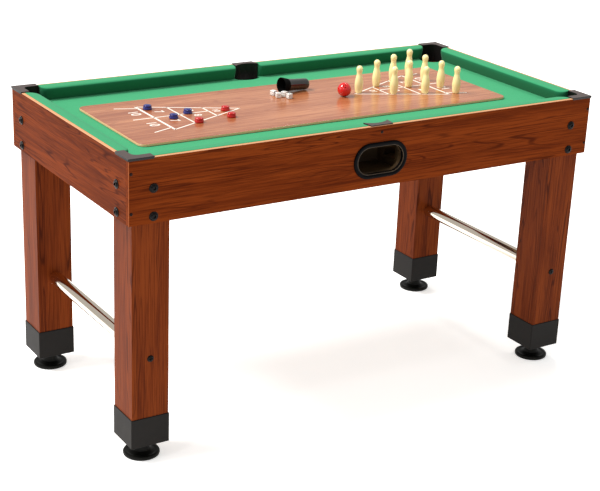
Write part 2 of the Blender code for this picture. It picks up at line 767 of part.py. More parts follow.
frame = empty("table_frame", (0, 0, 0))
aprons()
bed()
cushions()
for corner, (side_x, side_y) in CORNERS.items():
    corner_pocket("corner_pocket_" + corner, side_x, side_y)
    leg(corner, side_x, side_y)
    leg_cap(corner, side_x, side_y)
    levelling_foot(corner, side_x, side_y)
    bolt_set(corner, side_x, side_y)
middle_pocket("middle_pocket_front", -1)
middle_pocket("middle_pocket_back", 1)
ball_tray()
back_run()
stretcher("stretcher_tube_left", -1)
stretcher("stretcher_tube_right", 1)
board = playing_board()
pucks()
bowling_ball()
pins()
dice_cup()
dice()
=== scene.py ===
"""Looks of the games table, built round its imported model.

Cherry-print boards, green cloth, chrome tubes, black plastic fittings and the loose playing pieces,
each riding on its body of the frame. Metres, +Z up, in the frame of the model. Colours are linear.
"""

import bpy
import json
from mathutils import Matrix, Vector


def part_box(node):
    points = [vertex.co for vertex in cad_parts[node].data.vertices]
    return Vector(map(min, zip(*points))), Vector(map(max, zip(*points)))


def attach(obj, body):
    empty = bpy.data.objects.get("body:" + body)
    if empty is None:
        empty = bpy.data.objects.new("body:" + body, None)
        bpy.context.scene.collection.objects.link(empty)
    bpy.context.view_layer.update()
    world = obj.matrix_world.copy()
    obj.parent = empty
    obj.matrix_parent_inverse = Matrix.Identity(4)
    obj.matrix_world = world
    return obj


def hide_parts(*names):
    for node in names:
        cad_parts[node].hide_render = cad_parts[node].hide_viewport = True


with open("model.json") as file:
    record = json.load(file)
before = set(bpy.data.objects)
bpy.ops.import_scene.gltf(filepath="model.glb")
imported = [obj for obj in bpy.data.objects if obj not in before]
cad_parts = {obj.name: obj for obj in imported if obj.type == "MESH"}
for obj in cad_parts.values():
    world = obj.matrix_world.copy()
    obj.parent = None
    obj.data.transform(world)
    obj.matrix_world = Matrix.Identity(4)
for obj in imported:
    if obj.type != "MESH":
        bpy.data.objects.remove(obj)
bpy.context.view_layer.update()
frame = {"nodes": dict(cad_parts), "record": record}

import json
import math

import bmesh
import bpy
from mathutils import Matrix, Vector

NODES = frame["nodes"]
BODY = {node: body for body, members in frame["record"]["behaviour"]["bodies"].items() for node in members}


def middle_of(node):
    low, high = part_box(node)
    return (low + high) / 2


def foot_of(node):
    low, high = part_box(node)
    return Vector(((low.x + high.x) / 2, (low.y + high.y) / 2, low.z))


# Sizes that the pieces share with the frame
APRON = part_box("front_apron")
TOP = APRON[1].z
HALF_L, HALF_W = APRON[1].x, -APRON[0].y
BOARD_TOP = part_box("playing_board")[1].z
BOARD_X = middle_of("playing_board").x
PLAY_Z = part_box("pin_1")[0].z
CORNERS = ("front_left", "front_right", "back_left", "back_right")
LEG_MID = {corner: middle_of("leg_" + corner) for corner in CORNERS}


def linked(name, data):
    """A new object in the scene."""
    made = bpy.data.objects.new(name, data)
    bpy.context.scene.collection.objects.link(made)
    return made


# ---------------------------------------------------------------- camera, light and floor
CAMERA_AT = (-1.7731, -2.7541, 1.5434)
CAMERA_YAW, CAMERA_PITCH, CAMERA_ROLL = 0.5717, -0.3614, 0.0423
CAMERA_LENS, CAMERA_SENSOR = 85.8, 36.0
FLOOR_HALF = 40.0
FLOOR_GLOW = 0.5
WORLD_STRENGTH = 0.60
WORLD_COLOUR = (1.0, 0.99, 0.975, 1.0)
WARM_WHITE = (1.0, 0.98, 0.95)


def add_camera():
    yaw, pitch, roll = CAMERA_YAW, CAMERA_PITCH, CAMERA_ROLL
    ahead = Vector((math.sin(yaw) * math.cos(pitch), math.cos(yaw) * math.cos(pitch), math.sin(pitch)))
    level = Vector((math.cos(yaw), -math.sin(yaw), 0.0))
    above = level.cross(ahead)
    right = level * math.cos(roll) + above * math.sin(roll)
    up = above * math.cos(roll) - level * math.sin(roll)
    data = bpy.data.cameras.new("camera")
    data.sensor_width = CAMERA_SENSOR
    data.lens = CAMERA_LENS
    data.clip_start, data.clip_end = 0.05, 100.0
    camera = linked("camera", data)
    camera.matrix_world = Matrix((right, up, -ahead)).transposed().to_4x4()
    camera.location = CAMERA_AT
    bpy.context.scene.camera = camera


def aim_light(name, kind, at, target, energy, colour, **settings):
    """A light at a place, turned towards a target."""
    data = bpy.data.lights.new(name, kind)
    data.energy = energy
    data.color = colour
    for key, value in settings.items():
        setattr(data, key, value)
    light = linked(name, data)
    light.location = at
    light.rotation_euler = (Vector(target) - Vector(at)).to_track_quat("-Z", "Y").to_euler()


def add_lights():
    """A broad sun from the left, a low fill on the left end, and two small lights for highlights."""
    aim_light("key", "SUN", (-2.0, 0.9, 3.0), (0, 0, 0), 3.3, WARM_WHITE, angle=math.radians(24))
    aim_light("low_left", "AREA", (-2.3, 1.0, 1.3), (-0.7, 0.1, 0.1), 12.0, (1.0, 0.98, 0.96), size=1.6)
    aim_light("sparkle", "AREA", (-1.9, -0.8, 2.4), (0, 0, 0.6), 7.0, (1.0, 0.99, 0.97), size=0.2)
    aim_light("overhead", "AREA", (1.2, 0.7, 3.0), (0, 0.1, 0.7), 17.0, (1.0, 0.98, 0.94), size=0.5)


def add_studio():
    """The pale world and the glowing white floor."""
    world = bpy.data.worlds.new("studio")
    world.use_nodes = True
    background = world.node_tree.nodes["Background"]
    background.inputs["Color"].default_value = WORLD_COLOUR
    background.inputs["Strength"].default_value = WORLD_STRENGTH
    bpy.context.scene.world = world
    bm = bmesh.new()
    bmesh.ops.create_grid(bm, x_segments=2, y_segments=2, size=FLOOR_HALF)
    floor = linked("floor", mesh_of("floor", bm, outward=False))
    settings = {"Roughness": 0.9, "Specular IOR Level": 0.1, "Emission Strength": FLOOR_GLOW}
    look = Look("floor_white", settings)
    look.shader.inputs["Emission Color"].default_value = (1.0, 0.995, 0.985, 1.0)
    cloud = look.noise(look.place, 0.7, detail=2)
    look.set("Base Color", look.mix(cloud, (0.93, 0.93, 0.93), (0.96, 0.96, 0.96)))
    floor.data.materials.append(look.material)
    bpy.context.scene.view_settings.view_transform = "Standard"


# ---------------------------------------------------------------- materials
class Look:
    """A material, with short calls for the nodes that these surfaces use."""

    def __init__(self, name, settings):
        self.material = bpy.data.materials.new(name)
        self.material.use_nodes = True
        self.tree = self.material.node_tree
        self.shader = self.tree.nodes["Principled BSDF"]
        for socket, value in settings.items():
            self.shader.inputs[socket].default_value = value
        source = self.tree.nodes.new("ShaderNodeTexCoord")
        self.place = source.outputs["Object"]
        self.normal = source.outputs["Normal"]

    def node(self, kind, inputs, **settings):
        """A new node; each input is a socket to link, a plain value or a colour."""
        made = self.tree.nodes.new("ShaderNode" + kind)
        for key, value in settings.items():
            setattr(made, key, value)
        for key, value in inputs.items():
            if isinstance(value, bpy.types.NodeSocket):
                self.tree.links.new(value, made.inputs[key])
            elif isinstance(value, tuple) and made.inputs[key].type == "RGBA":
                made.inputs[key].default_value = (*value, 1.0)
            else:
                made.inputs[key].default_value = value
        return made

    def set(self, socket, value):
        self.tree.links.new(value, self.shader.inputs[socket])

    def scaled(self, x, y, z):
        return self.node("Mapping", {"Vector": self.place, "Scale": (x, y, z)}).outputs["Vector"]

    def stretched(self, along, across, lengthwise=1.0):
        """Coordinates drawn out along one axis and packed across it."""
        return self.scaled(*(lengthwise if axis == along else across for axis in "XYZ"))

    def noise(self, vector, scale, detail=3.0, distortion=0.0, roughness=0.5):
        inputs = {"Vector": vector, "Scale": scale, "Detail": detail}
        inputs.update({"Distortion": distortion, "Roughness": roughness})
        return self.node("TexNoise", inputs).outputs["Fac"]

    def math(self, operation, a, b=0.0):
        return self.node("Math", {0: a, 1: b}, operation=operation).outputs[0]

    def times(self, a, b):
        return self.math("MULTIPLY", a, b)

    def blend(self, a, b, share):
        """A sum in which b has this share and a has the rest."""
        return self.math("ADD", self.times(a, 1.0 - share), self.times(b, share))

    def between(self, value, low, high):
        """0 below low, 1 above high, smooth in between; low may be the larger."""
        inputs = {"Value": value, "From Min": low, "From Max": high}
        return self.node("MapRange", inputs, interpolation_type="SMOOTHSTEP").outputs["Result"]

    def mix(self, factor, a, b):
        return self.node("Mix", {0: factor, 6: a, 7: b}, data_type="RGBA").outputs[2]

    def part(self, vector, axis):
        return self.node("SeparateXYZ", {0: vector}).outputs["XYZ".index(axis)]

    def range(self, value, low, high):
        inputs = {"Value": value, "To Min": low, "To Max": high}
        return self.node("MapRange", inputs).outputs["Result"]

    def bump(self, height, depth, strength):
        inputs = {"Height": height, "Distance": depth, "Strength": strength}
        self.set("Normal", self.node("Bump", inputs).outputs["Normal"])

    def ring_lines(self, vector, scale, distortion, count, width):
        """Thin lines that follow the level curves of a slow noise, as growth rings do."""
        rings = self.times(self.noise(vector, scale, 2.0, distortion), count)
        wave = self.math("ABSOLUTE", self.math("SUBTRACT", self.math("FRACT", rings), 0.5))
        return self.between(wave, width, 0.02)


CHERRY_LONG = dict(light=(0.176, 0.0325, 0.0052), dark=(0.102, 0.0168, 0.0030), vein=(0.038, 0.0052, 0.0016))
CHERRY_END = dict(light=(0.158, 0.0310, 0.0070), dark=(0.088, 0.0165, 0.0044), vein=(0.034, 0.0056, 0.0026))
CHERRY_LEG = dict(light=(0.172, 0.0335, 0.0058), dark=(0.098, 0.0165, 0.0031), vein=(0.034, 0.0052, 0.0016))
BARE_EDGE = ((0.50, 0.24, 0.115), (0.70, 0.38, 0.21))
# A lighter colour painted along the aprons' upright corners as a highlight where the rounded edge catches
# the light.
CORNER_HIGHLIGHT = (0.42, 0.13, 0.045)
CHERRY_ROUGH = 0.36
HIGHLIGHT_REACH = 0.0012  # how far in from an apron's upright corner the painted highlight reaches


def cherry(name, along, tones, edged=False, shine=0.008):
    """Cherry-print laminate: broad tones, fine streaks and wavering dark veins along one axis."""
    look = Look(name, {"Specular IOR Level": shine})
    wide, fine = look.stretched(along, 15.0), look.stretched(along, 45.0)
    tone = look.noise(wide, 2.2, distortion=0.4)
    streak = look.noise(fine, 8.0, detail=6.0, distortion=0.3, roughness=0.7)
    shade = look.between(look.blend(tone, streak, 0.58), 0.40, 0.60)
    colour = look.mix(shade, tones["dark"], tones["light"])
    strong = look.between(look.noise(wide, 2.3, detail=2.0), 0.39, 0.62)
    line = look.ring_lines(wide, 1.25, 0.35, 17.0, 0.17)
    line = look.times(line, look.times(strong, look.range(streak, 0.35, 1.15)))
    colour = look.mix(line, colour, tones["vein"])
    pore = look.between(look.noise(look.stretched(along, 44.0), 10.0), 0.52, 0.68)
    colour = look.mix(look.times(pore, 0.5), colour, tones["vein"])
    if edged:
        colour = bare_top_and_corner_highlight(look, colour)
    look.set("Base Color", colour)
    look.set("Roughness", look.range(streak, CHERRY_ROUGH - 0.07, CHERRY_ROUGH + 0.12))
    look.bump(look.math("SUBTRACT", streak, look.times(line, 0.6)), 0.00025, 0.35)
    return look.material


def bare_top_and_corner_highlight(look, colour):
    """Raw fibreboard on top of an apron, and a lighter painted highlight along its upright corners."""
    band = look.between(look.part(look.place, "Z"), TOP - 0.0011, TOP - 0.0008)
    grit = look.noise(look.place, 420.0)
    colour = look.mix(band, colour, look.mix(grit, *BARE_EDGE))
    # Painted highlight: the print turns lighter near each upright corner.
    near = [look.between(look.math("ABSOLUTE", look.part(look.place, axis)), half - HIGHLIGHT_REACH, half - HIGHLIGHT_REACH / 3)
            for axis, half in (("X", HALF_L), ("Y", HALF_W))]
    return look.mix(look.times(look.times(*near), 0.8), colour, CORNER_HIGHLIGHT)


# The second colour of each pair is painted shade for the cloth's steep faces.
BED_GREEN, BED_PAINTED_SHADE = (0.044, 0.350, 0.155), (0.015, 0.16, 0.07)
# The rail cloth is the bed cloth painted about a tenth darker: painted shade that keeps the well-lit rail
# tops as dark as the bed.
SHADED_RAIL_GREEN, RAIL_PAINTED_SHADE = (0.038, 0.310, 0.137), (0.010, 0.140, 0.058)
FIBREBOARD = (0.42, 0.27, 0.15)


def cloth(name, nap, shade, under=None):
    """Napped cloth: fibres, faint brushing of the nap painted as darker sheen streaks, and painted shade on
    its steep faces; under is the board beneath.
    """
    look = Look(name, {"Specular IOR Level": 0.15, "Sheen Weight": 0.08, "Sheen Roughness": 0.5})
    fibre = look.noise(look.place, 950.0, detail=4.0, distortion=0.6, roughness=0.7)
    sheen_streak = look.noise(look.stretched("X", 26.0, 5.0), 1.4, distortion=0.5)
    colour = look.mix(look.between(fibre, 0.3, 0.72), dimmed(nap, 0.84), nap)
    # The nap's brushing, painted as faint darker sheen streaks.
    colour = look.mix(look.between(sheen_streak, 0.35, 0.75), colour, dimmed(nap, 0.90))
    height = look.part(look.normal, "Z")
    # Painted shade: faces turn darker as they grow steeper.
    colour = look.mix(look.between(height, 0.70, 0.25), colour, shade)
    if under:
        speck = look.noise(look.place, 380.0, detail=4.0, roughness=0.7)
        below = look.mix(speck, dimmed(under, 0.75), under)
        colour = look.mix(look.between(height, -0.5, -0.8), colour, below)
    look.set("Base Color", colour)
    look.set("Roughness", look.range(fibre, 0.82, 1.0))
    look.bump(fibre, 0.0004, 0.5)
    return look.material


def dimmed(colour, share):
    return tuple(channel * share for channel in colour)


def plastic(name, colour, rough, grain=900.0, relief=0.00006, metal=0.0, mottle=0.12, coat=0.0,
            shine=0.2, steep_shade=None):
    """Moulded plastic, or a painted or plated metal; the walls colour, if given, is painted shade on its
    steep faces.
    """
    settings = {"Metallic": metal, "Coat Weight": coat, "Coat Roughness": 0.08}
    look = Look(name, {**settings, "Specular IOR Level": shine})
    cloud = look.noise(look.place, 28.0, distortion=0.4)
    shown = look.mix(look.between(cloud, 0.35, 0.65), dimmed(colour, 1.0 - mottle), colour)
    if steep_shade:
        # Painted shade: steep faces darken to the given colour.
        shown = look.mix(look.between(look.part(look.normal, "Z"), 0.85, 0.55), shown, steep_shade)
    look.set("Base Color", shown)
    look.set("Roughness", look.range(cloud, rough - 0.05, rough + 0.06))
    look.bump(look.noise(look.place, grain), relief, 0.5)
    return look.material


def chrome(name, along):
    """Plated tube: bright, with faint drawing marks and handling haze."""
    look = Look(name, {"Metallic": 1.0})
    marks = look.noise(look.stretched(along, 300.0, 2.0), 4.0)
    haze = look.noise(look.place, 22.0, distortion=0.5)
    # The warm tint of the plating is a painted reflection of the wood round the tube.
    look.set("Base Color", look.mix(marks, (0.72, 0.63, 0.52), (0.82, 0.74, 0.63)))
    look.set("Roughness", look.range(haze, 0.05, 0.15))
    look.bump(marks, 0.00002, 0.3)
    return look.material


BOARD_DARK, BOARD_LIGHT, BOARD_VEIN = (0.29, 0.078, 0.027), (0.50, 0.198, 0.086), (0.24, 0.060, 0.022)
BOARD_EDGE = ((0.78, 0.38, 0.19), (0.97, 0.58, 0.36))


def board_print(name):
    """The playing board: a varnished salmon woodgrain print on fibreboard with a pale edge."""
    look = Look(name, {"Specular IOR Level": 0.4, "Coat Weight": 0.2, "Coat Roughness": 0.10})
    wide, fine = look.stretched("X", 12.0), look.stretched("X", 70.0)
    tone = look.noise(wide, 1.6, distortion=0.4)
    streak = look.noise(fine, 7.0, detail=5.0, distortion=0.2, roughness=0.65)
    colour = look.mix(look.between(look.blend(tone, streak, 0.65), 0.40, 0.60), BOARD_DARK, BOARD_LIGHT)
    line = look.ring_lines(wide, 1.3, 0.8, 15.0, 0.16)
    colour = look.mix(look.times(line, 0.45), colour, BOARD_VEIN)
    edge = look.mix(look.noise(look.place, 500.0), *BOARD_EDGE)
    steep = look.between(look.part(look.normal, "Z"), 0.80, 0.40)
    look.set("Base Color", look.mix(steep, colour, edge))
    look.set("Roughness", look.range(streak, 0.20, 0.30))
    look.bump(streak, 0.0001, 0.15)
    return look.material


def ivory(name, colour, rough, coat=0.2):
    """Soft moulded plastic that lets a little light in."""
    settings = {"Subsurface Weight": 0.08, "Subsurface Radius": (0.004, 0.003, 0.002)}
    look = Look(name, {**settings, "Coat Weight": coat})
    cloud = look.noise(look.place, 55.0, distortion=0.4)
    look.set("Base Color", look.mix(look.between(cloud, 0.3, 0.7), dimmed(colour, 0.93), colour))
    look.set("Roughness", look.range(cloud, rough - 0.05, rough + 0.05))
    look.bump(look.noise(look.place, 700.0, detail=2.0), 0.00005, 0.4)
    return look.material


# ---------------------------------------------------------------- shapes
SMOOTH_ANGLE, SOFT_ANGLE = 35.0, 50.0  # edges sharper than this stay crisp


def mesh_of(name, bm, outward=True):
    """A mesh from a bmesh, which is freed; outward turns its faces to the outside."""
    if outward:
        bmesh.ops.recalc_face_normals(bm, faces=bm.faces)
    mesh = bpy.data.meshes.new(name)
    bm.to_mesh(mesh)
    bm.free()
    return mesh


def shaded(mesh, degrees=SMOOTH_ANGLE):
    mesh.shade_smooth()
    mesh.set_sharp_from_angle(angle=math.radians(degrees))
    return mesh


def place(name, mesh, materials, body, nodes=(), matrix=None):
    """Add a piece, ride it on its body and hide the nodes it stands for."""
    for material in materials:
        mesh.materials.append(material)
    piece = linked(name, mesh)
    if matrix is not None:
        piece.matrix_world = matrix
    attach(piece, body)
    if nodes:
        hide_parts(*nodes)
    return piece


def finished(node, mesh, materials, matrix=None):
    """The piece that stands for one node."""
    return place(node + "_finished", mesh, materials, BODY[node], [node], matrix=matrix)


def refined(node, material, width, segments=2, whole=True):
    """A node's own shape with its edges rounded, and its flat faces made whole where they can be."""
    bm = bmesh.new()
    bm.from_mesh(NODES[node].data)
    bmesh.ops.remove_doubles(bm, verts=bm.verts, dist=1e-6)
    if whole:
        bmesh.ops.dissolve_limit(bm, angle_limit=math.radians(1.0), verts=bm.verts, edges=bm.edges)
    piece = finished(node, shaded(mesh_of(node + "_finished", bm, outward=False)), [material])
    rounding = piece.modifiers.new("rounding", "BEVEL")
    rounding.width = width
    rounding.segments = segments
    rounding.limit_method = "ANGLE"
    rounding.angle_limit = math.radians(30.0)
    rounding.harden_normals = True


def smoothed(profile, steps):
    """A flowing line through the points of a profile."""
    points = [Vector(p) for p in profile]
    points = [points[0] * 2 - points[1]] + points + [points[-1] * 2 - points[-2]]
    line = []
    for a, b, c, d in zip(points, points[1:], points[2:], points[3:]):
        for i in range(steps):
            t = i / steps
            line.append(0.5 * (2 * b + (c - a) * t + (2 * a - 5 * b + 4 * c - d) * t * t
                               + (3 * b - a - 3 * c + d) * t ** 3))
    line.append(points[-2])
    return [(max(p.x, 0.0), p.y) for p in line]


def turn(bm, profile, segments, matrix=None, index=0):
    """Turn (radius, height) pairs about Z. A third value of 6 makes that ring a hexagon."""
    matrix = matrix or Matrix.Identity(4)
    rings = []
    for radius, height, *sides in profile:
        if radius < 1e-6:
            rings.append([bm.verts.new(matrix @ Vector((0.0, 0.0, height)))])
            continue
        ring = []
        for i in range(segments):
            angle = 2 * math.pi * i / segments
            reach = radius
            if sides:
                reach /= math.cos((angle + math.pi / 6) % (math.pi / 3) - math.pi / 6)
            spot = Vector((reach * math.cos(angle), reach * math.sin(angle), height))
            ring.append(bm.verts.new(matrix @ spot))
        rings.append(ring)
    for low, high in zip(rings, rings[1:]):
        for i in range(segments):
            j = (i + 1) % segments
            corners = [low[i % len(low)], low[j % len(low)], high[j % len(high)], high[i % len(high)]]
            face = bm.faces.new(list(dict.fromkeys(corners)))
            face.material_index = index


def turned_mesh(name, profile, segments):
    bm = bmesh.new()
    turn(bm, profile, segments)
    return shaded(mesh_of(name, bm))


def skinned_mesh(name, rows, closed):
    """A skin over rows of points. Closed joins the last row to the first, else both ends are capped."""
    bm = bmesh.new()
    rings = [[bm.verts.new(point) for point in row] for row in rows]
    following = rings[1:] + rings[:1] if closed else rings[1:]
    for ring, after in zip(rings, following):
        for i in range(len(ring)):
            j = (i + 1) % len(ring)
            bm.faces.new((ring[i], ring[j], after[j], after[i]))
    if not closed:
        bm.faces.new(rings[0])
        bm.faces.new(rings[-1][::-1])
    return shaded(mesh_of(name, bm), SOFT_ANGLE)


def carved_mesh(name, body, cutter, crossing=False):
    """A mesh with another cut out of it; crossing says that the cutter's own parts cross."""
    solid, tool = linked(name, body), linked(name + "_cutter", cutter)
    cut = solid.modifiers.new("cut", "BOOLEAN")
    cut.object = tool
    cut.solver = "EXACT"
    cut.use_self = crossing
    graph = bpy.context.evaluated_depsgraph_get()
    made = bpy.data.meshes.new_from_object(solid.evaluated_get(graph))
    bpy.data.objects.remove(solid)
    bpy.data.objects.remove(tool)
    return shaded(made)


def facing(direction, at):
    """A matrix that turns +Z towards a direction, at a place."""
    matrix = Vector(direction).to_track_quat("Z", "Y").to_matrix().to_4x4()
    matrix.translation = at
    return matrix


# ---------------------------------------------------------------- the table
APRON_ROUND, BED_ROUND, POCKET_ROUND = 0.0006, 0.0008, 0.0004
TRAY_ROUND, RUN_ROUND, LEG_ROUND = 0.0008, 0.0005, 0.0009


def build_box():
    """The aprons, the cloth-covered bed and the stuffed rails."""
    long_wood = cherry("cherry_long", "X", CHERRY_LONG, edged=True)
    end_wood = cherry("cherry_end", "Y", CHERRY_END, edged=True)
    for side, wood in (("front", long_wood), ("back", long_wood), ("left", end_wood), ("right", end_wood)):
        refined(side + "_apron", wood, APRON_ROUND)
    refined("bed_panel", cloth("bed_cloth", BED_GREEN, BED_PAINTED_SHADE, FIBREBOARD), BED_ROUND)
    rail_cloth = cloth("rail_cloth", SHADED_RAIL_GREEN, RAIL_PAINTED_SHADE)
    for rail in (*CORNERS, "left", "right"):
        build_cushion("cushion_" + rail, rail_cloth)


def build_pockets():
    """The pocket plates, the ball-return tray with its rim, and the hidden ball run."""
    # The plates' steep faces are painted near black as shade.
    plate = plastic("pocket_plastic", (0.075, 0.056, 0.052), 0.42, steep_shade=(0.010, 0.008, 0.008))
    pockets = ["corner_pocket_" + corner for corner in CORNERS]
    for node in pockets + ["middle_pocket_front", "middle_pocket_back"]:
        refined(node, plate, POCKET_ROUND, whole=False)
    tray = plastic("tray_plastic", (0.050, 0.030, 0.014), 0.35)
    refined("ball_return_tray", tray, TRAY_ROUND, whole=False)
    refined("back_ball_run", plastic("run_plastic", (0.020, 0.018, 0.016), 0.35), RUN_ROUND)
    build_bezel(plastic("bezel_black", (0.0025, 0.0025, 0.003), 0.13, shine=0.03))


def build_legs():
    wood = cherry("cherry_leg", "Z", CHERRY_LEG, shine=0.03)
    cap = plastic("cap_plastic", (0.0085, 0.0070, 0.0060), 0.50, grain=600.0, relief=0.0001, shine=0.12)
    for corner in CORNERS:
        refined("leg_" + corner, wood, LEG_ROUND)
        refined("leg_cap_" + corner, cap, LEG_ROUND)


BEZEL = (  # distance out from the middle line, distance proud of the apron
    (0.0407, 0.0003), (0.0407, 0.0024), (0.0401, 0.0035), (0.0388, 0.0042), (0.0368, 0.0044),
    (0.0345, 0.0041), (0.0324, 0.0033), (0.0308, 0.0019), (0.0302, 0.0000), (0.0302, -0.0060),
    (0.0306, -0.0060),
)
OPENING_Z, OPENING_HALF = 0.614, 0.030
BEZEL_STEPS = 24


def build_bezel(material):
    """The glossy rolled rim round the ball-return opening."""
    rows = []
    for side in (1, -1):
        middle = Vector((side * OPENING_HALF, -HALF_W, OPENING_Z))
        for i in range(BEZEL_STEPS + 1):
            angle = math.pi * i / BEZEL_STEPS - math.pi / 2
            out = Vector((side * math.cos(angle), 0, side * math.sin(angle)))
            rows.append([middle + out * reach - Vector((0, proud, 0)) for reach, proud in BEZEL])
    mesh = skinned_mesh("ball_return_bezel", rows, closed=True)
    place("ball_return_bezel", mesh, [material], "table", ())


CUSHION = (  # depth from the apron, height below the rail top, outer bottom edge first
    (0.0000, 0.0312), (0.0170, 0.0312), (0.0213, 0.0200), (0.0244, 0.0105), (0.0250, 0.0070),
    (0.0247, 0.0042), (0.0235, 0.0020), (0.0212, 0.0006), (0.0170, -0.0002), (0.0100, -0.0006),
    (0.0000, -0.0008), (-0.0046, -0.0008), (-0.0052, -0.0004), (-0.0052, 0.0000), (0.0000, 0.0000),
)
CUSHION_DEPTH = 0.025
CORNER_JAW, MIDDLE_JAW = 0.022, 0.010  # how far from its end a cushion starts to round off
JAW_DEPTH = 0.30  # share of the depth that is left at the very end
JAW_STEPS = 8


def build_cushion(node, material):
    """A stuffed rail: rounded nose and jaws, the cloth carried over the inner half of the apron's top."""
    low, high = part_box(node)
    middle = (low + high) / 2
    span = high - low
    long_side = span.x > span.y
    if long_side:
        run, inward, half = Vector((1, 0, 0)), Vector((0, -math.copysign(1, middle.y), 0)), span.x / 2
    else:
        run, inward, half = Vector((0, 1, 0)), Vector((-math.copysign(1, middle.x), 0, 0)), span.y / 2
    outer = middle - inward * CUSHION_DEPTH / 2
    stations = []
    for end in (-1, 1):
        by_middle_pocket = long_side and abs(middle.x + end * half) < HALF_L / 4
        jaw = MIDDLE_JAW if by_middle_pocket else CORNER_JAW
        for i in range(JAW_STEPS + 1):
            swing = math.pi / 2 * i / JAW_STEPS
            reach = JAW_DEPTH + (1 - JAW_DEPTH) * math.sin(swing)
            stations.append((end * (half - jaw * (1 - math.cos(swing))), reach))
    rows = []
    for along, reach in sorted(stations):
        row = []
        for depth, drop in CUSHION:
            spot = outer + run * along + inward * (depth * reach if depth > 0 else depth)
            spot.z = TOP - drop
            row.append(spot)
        rows.append(row)
    mesh = skinned_mesh(node + "_stuffed", rows, closed=False)
    piece = place(node + "_stuffed", mesh, [material], BODY[node], [node])


FOOT = (  # radius, height above the floor
    (0.0, 0.0), (0.0340, 0.0), (0.0375, 0.0004), (0.0398, 0.0020), (0.0405, 0.0045),
    (0.0402, 0.0070), (0.0390, 0.0090), (0.0365, 0.0099), (0.0335, 0.0098), (0.0312, 0.0090),
    (0.0290, 0.0088), (0.0225, 0.0104), (0.0190, 0.0128), (0.0176, 0.0170), (0.0170, 0.0250),
    (0.0166, 0.0330), (0.0158, 0.0354), (0.0140, 0.0360), (0.0052, 0.0360),
)
STUD_R, STUD_ROOT_R = 0.0050, 0.0043
STUD_START, STUD_TOP = 0.0360, 0.0780
THREADS, PITCH = 20, 0.0020


def build_feet():
    rubber = plastic("foot_plastic", (0.006, 0.006, 0.005), 0.40, grain=500.0, relief=0.0001, shine=0.1)
    zinc = plastic("zinc_stud", (0.55, 0.54, 0.51), 0.30, grain=300.0, relief=0.00004, metal=1.0)
    stud = [(STUD_R, STUD_START)]
    for i in range(THREADS):
        crest = STUD_START + PITCH / 2 + PITCH * i
        stud += [(STUD_R, crest), (STUD_ROOT_R, crest + PITCH / 2)]
    stud += [(STUD_R, STUD_TOP - 0.0005), (STUD_R - 0.0005, STUD_TOP), (0.0, STUD_TOP)]
    for corner, middle in LEG_MID.items():
        bm = bmesh.new()
        turn(bm, FOOT, 64)
        turn(bm, stud, 24, index=1)
        bmesh.ops.remove_doubles(bm, verts=bm.verts, dist=1e-6)
        mesh = shaded(mesh_of("foot_" + corner, bm))
        at = Matrix.Translation((middle.x, middle.y, 0.0))
        finished("levelling_foot_" + corner, mesh, [rubber, zinc], at)


TUBE_WALL, TUBE_LIP, TUBE_CHAMFER = 0.0015, 0.0003, 0.0004


def build_tubes():
    plated = chrome("chrome_tube", "Y")
    for side in ("left", "right"):
        node = "stretcher_tube_" + side
        low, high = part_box(node)
        half, r = (high.y - low.y) / 2, (high.z - low.z) / 2
        bore, chamfered = r - TUBE_WALL, half - TUBE_CHAMFER
        profile = [(bore, -half), (r - TUBE_LIP, -half), (r, -chamfered), (r, chamfered)]
        profile += [(r - TUBE_LIP, half), (bore, half), (bore, -half)]
        finished(node, turned_mesh(node, profile, 64), [plated], facing((0, 1, 0), middle_of(node)))


# ---------------------------------------------------------------- fastenings
BOLT_Z = (0.627, 0.567)
BOLT = (  # radius, depth in from the apron's face; a hexagon recess, the head, its washer, the shank
    (0.0, -0.0022), (0.0034, -0.0022, 6), (0.0034, -0.0046, 6), (0.0039, -0.0048), (0.0056, -0.0045),
    (0.0070, -0.0036), (0.0076, -0.0022), (0.0079, -0.0018), (0.0094, -0.0017), (0.0099, -0.0014),
    (0.0100, -0.0009), (0.0100, -0.0003), (0.0030, -0.0003), (0.0030, 0.0285), (0.0, 0.0285),
)
PLATE_INSET, PLATE_ARM, PLATE_T = 0.0226, 0.046, 0.0025
PLATE_Z, PLATE_H = 0.553, 0.088
FASTENER_BLACK = (0.004, 0.0035, 0.003)


def build_bolts():
    """At each corner, two bolts through each apron and the angle plate that they hold."""
    black = plastic("bolt_black", FASTENER_BLACK, 0.22, relief=0.00004, shine=0.1)
    for corner, middle in LEG_MID.items():
        sx, sy = math.copysign(1, middle.x), math.copysign(1, middle.y)
        bm = bmesh.new()
        for z in BOLT_Z:
            turn(bm, BOLT, 48, facing((0, -sy, 0), (middle.x, sy * HALF_W, z)))
            turn(bm, BOLT, 48, facing((-sx, 0, 0), (sx * HALF_L, middle.y, z)))
        outline = [(0, 0), (PLATE_ARM, 0), (PLATE_ARM, PLATE_T)]
        outline += [(PLATE_T, PLATE_T), (PLATE_T, PLATE_ARM), (0, PLATE_ARM)]
        x, y = HALF_L - PLATE_INSET, HALF_W - PLATE_INSET
        base = bm.faces.new([bm.verts.new((sx * (x - a), sy * (y - b), PLATE_Z)) for a, b in outline])
        risen = bmesh.ops.extrude_face_region(bm, geom=[base])["geom"]
        lifted = [v for v in risen if isinstance(v, bmesh.types.BMVert)]
        bmesh.ops.translate(bm, vec=(0, 0, PLATE_H), verts=lifted)
        node = "leg_bolts_" + corner
        finished(node, shaded(mesh_of(node, bm)), [black])


